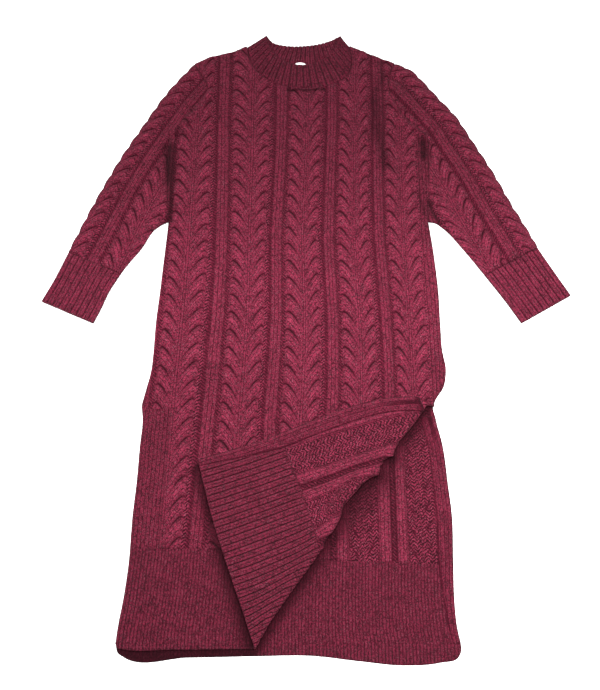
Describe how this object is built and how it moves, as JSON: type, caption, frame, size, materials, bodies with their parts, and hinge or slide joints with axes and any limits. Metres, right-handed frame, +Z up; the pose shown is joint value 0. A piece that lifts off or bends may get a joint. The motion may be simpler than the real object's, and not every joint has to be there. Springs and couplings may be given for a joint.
{
  "type": "sweater dress",
  "caption": "Cable-knit midi sweater dress with a mock neck, long sleeves and ribbed hem, lying flat with the front's lower corner folded over at its side slit.",
  "frame": {"origin": "on the flat underside of the back, where the camera of the picture looks", "axes": "+Y from the hem towards the neck, +Z up from the surface it lies on, +X to the right as seen from above"},
  "size_m": [0.9, 1.1465, 0.0181],
  "materials": {
    "burgundy_knit": "matt heathered knit, slightly fuzzy",
    "white_satin": "satin ribbon"
  },
  "bodies": {
    "root": {"front": "burgundy_knit", "front_hem_rib": "burgundy_knit", "back": "burgundy_knit", "back_hem_rib": "burgundy_knit", "sleeve_left": "burgundy_knit", "sleeve_right": "burgundy_knit", "cuff_left": "burgundy_knit", "cuff_right": "burgundy_knit", "collar": "burgundy_knit", "slit_band_front": "burgundy_knit", "slit_band_back": "burgundy_knit", "neck_label": "white_satin"}
  },
  "joints": []
}
